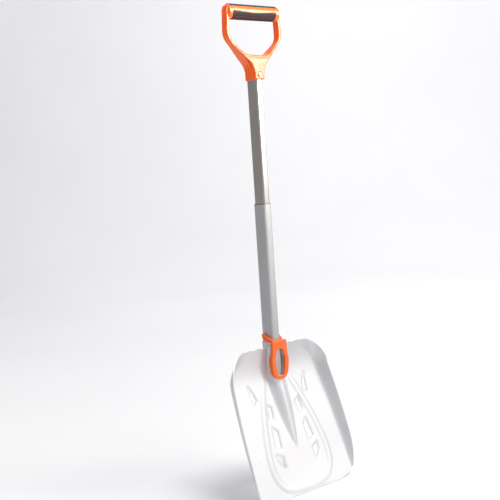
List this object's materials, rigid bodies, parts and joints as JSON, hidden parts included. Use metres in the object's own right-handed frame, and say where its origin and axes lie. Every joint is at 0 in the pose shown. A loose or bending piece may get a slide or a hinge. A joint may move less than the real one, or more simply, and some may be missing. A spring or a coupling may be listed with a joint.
{
  "type": "avalanche shovel",
  "caption": "Telescopic snow shovel with a slotted, stamped aluminium blade, a clip-in socket collar, faceted shaft tubes and a rubber-covered D-grip.",
  "frame": {"origin": "the middle of the bounding box's bottom face, level with the blade's tip; the shaft axis stands 31.73 mm behind it", "axes": "+Z along the shaft from the tip to the grip, -Y towards the open side of the blade, X across the width"},
  "size_m": [0.2436, 0.0971, 0.8672],
  "materials": {
    "blade_aluminium": "anodised, satin silver",
    "orange_plastic": "moulded polyamide, satin",
    "sleeve_aluminium": "mill finish",
    "tube_satin": "satin anodised",
    "tube_polished": "bright anodised",
    "dark_plastic": "moulded",
    "hardware_steel": "stainless, brushed",
    "spring_steel": "spring strip",
    "black_rubber": "soft moulded",
    "red_rubber": "soft moulded"
  },
  "bodies": {
    "handle": {"upper_tube": "tube_polished", "upper_plug": "dark_plastic", "telescope_button_spring": "spring_steel", "grip_frame": "orange_plastic", "grip_rubber_top": "black_rubber", "grip_rubber_front": "black_rubber", "grip_pads": "red_rubber", "neck_screw": "hardware_steel", "neck_washer": "hardware_steel", "neck_nut": "hardware_steel"},
    "telescope_button": {"telescope_button": "hardware_steel"},
    "lower_shaft": {"lower_tube": "tube_satin", "tube_bush": "dark_plastic", "lower_plug": "dark_plastic", "blade_button_spring": "spring_steel"},
    "blade_button": {"blade_button": "hardware_steel"},
    "blade_unit": {"blade": "blade_aluminium", "socket_collar": "orange_plastic", "socket_sleeve": "sleeve_aluminium", "sleeve_rivets": "hardware_steel"}
  },
  "joints": [
    {"name": "telescope", "type": "slide", "parent": "handle", "child": "lower_shaft", "axis": [0, 0, 1], "range_m": [0, 0.19], "deforming": ["telescope_button"]},
    {"name": "blade_release", "type": "slide", "parent": "lower_shaft", "child": "blade_unit", "axis": [0, 0, -1], "range_m": [0, 0.125], "deforming": ["blade_button"]},
    {"name": "telescope_button_press", "type": "slide", "parent": "handle", "child": "telescope_button", "axis": [0, -1, 0], "range_m": [0, 0.0042], "stiffness_N_per_m": 900, "springref_m": -0.002, "deforming": ["telescope_button_spring"]},
    {"name": "blade_button_press", "type": "slide", "parent": "lower_shaft", "child": "blade_button", "axis": [0, -1, 0], "range_m": [0, 0.0042], "stiffness_N_per_m": 900, "springref_m": -0.002, "deforming": ["blade_button_spring"]}
  ]
}
